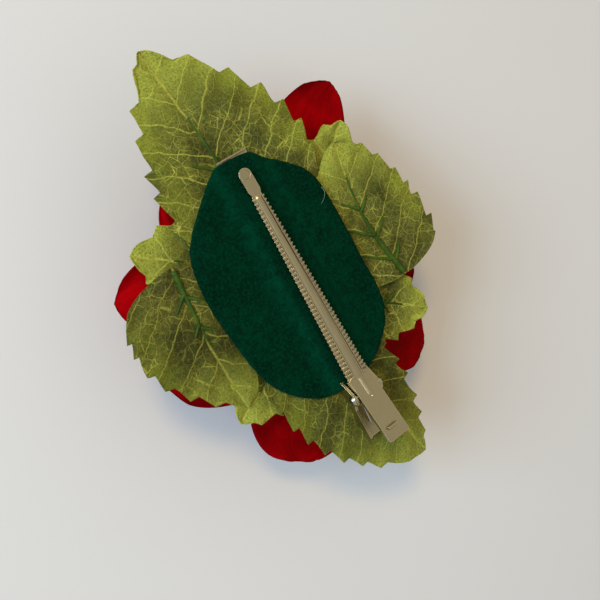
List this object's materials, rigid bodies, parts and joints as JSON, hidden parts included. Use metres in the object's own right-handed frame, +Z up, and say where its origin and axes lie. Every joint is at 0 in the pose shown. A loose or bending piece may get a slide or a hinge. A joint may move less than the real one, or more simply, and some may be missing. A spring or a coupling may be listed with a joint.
{
  "type": "flower hair clip",
  "caption": "Hair clip with a layered red cloth flower and serrated leaves, on a felt-backed, sprung metal clip with toothed jaws.",
  "frame": {"origin": "middle of the footprint, on the surface that the flower's petals rest on", "axes": "+X across the clip, +Y along the clip from its hinge to its jaw tip, +Z up out of the back, away from the flower"},
  "size_m": [0.0812, 0.1167, 0.041],
  "materials": {
    "clip_steel": "bright nickel plate, faint grain",
    "pin_steel": "bright",
    "spring_steel": "drawn wire",
    "felt": "fuzzy pressed felt",
    "glue": "hot glue",
    "leaf_cloth": "printed, starched cloth",
    "rib_plastic": "moulded, satin",
    "petal_cloth": "soft velvet nap",
    "bud_cloth": "soft velvet nap"
  },
  "bodies": {
    "flower_and_base": {"lower_arm": "clip_steel", "hinge_pin": "pin_steel", "torsion_spring": "spring_steel", "felt_backing": "felt", "glue_left": "glue", "glue_right": "glue", "leaf_top": "leaf_cloth", "leaf_bottom": "leaf_cloth", "leaf_left": "leaf_cloth", "leaf_right": "leaf_cloth", "leaf_upper_left": "leaf_cloth", "leaf_upper_right": "leaf_cloth", "leaf_lower_left": "leaf_cloth", "leaf_lower_right": "leaf_cloth", "rib_top": "rib_plastic", "rib_bottom": "rib_plastic", "rib_left": "rib_plastic", "rib_right": "rib_plastic", "rib_upper_left": "rib_plastic", "rib_upper_right": "rib_plastic", "rib_lower_left": "rib_plastic", "rib_lower_right": "rib_plastic", "petals_outer": "petal_cloth", "petals_second": "petal_cloth", "petals_middle": "petal_cloth", "petals_inner": "petal_cloth", "petals_heart": "petal_cloth", "flower_bud": "bud_cloth", "core_peg": "rib_plastic", "calyx_disc": "rib_plastic"},
    "jaw": {"upper_arm": "clip_steel"}
  },
  "joints": [
    {"name": "jaw_hinge", "type": "hinge", "parent": "flower_and_base", "child": "jaw", "pos_m": [-0.001, -0.0336, 0.0357], "axis": [1, 0, 0], "range_deg": [0, 30], "stiffness_Nm_per_rad": 0.1, "springref_deg": -34.38, "deforming": ["torsion_spring"]}
  ]
}
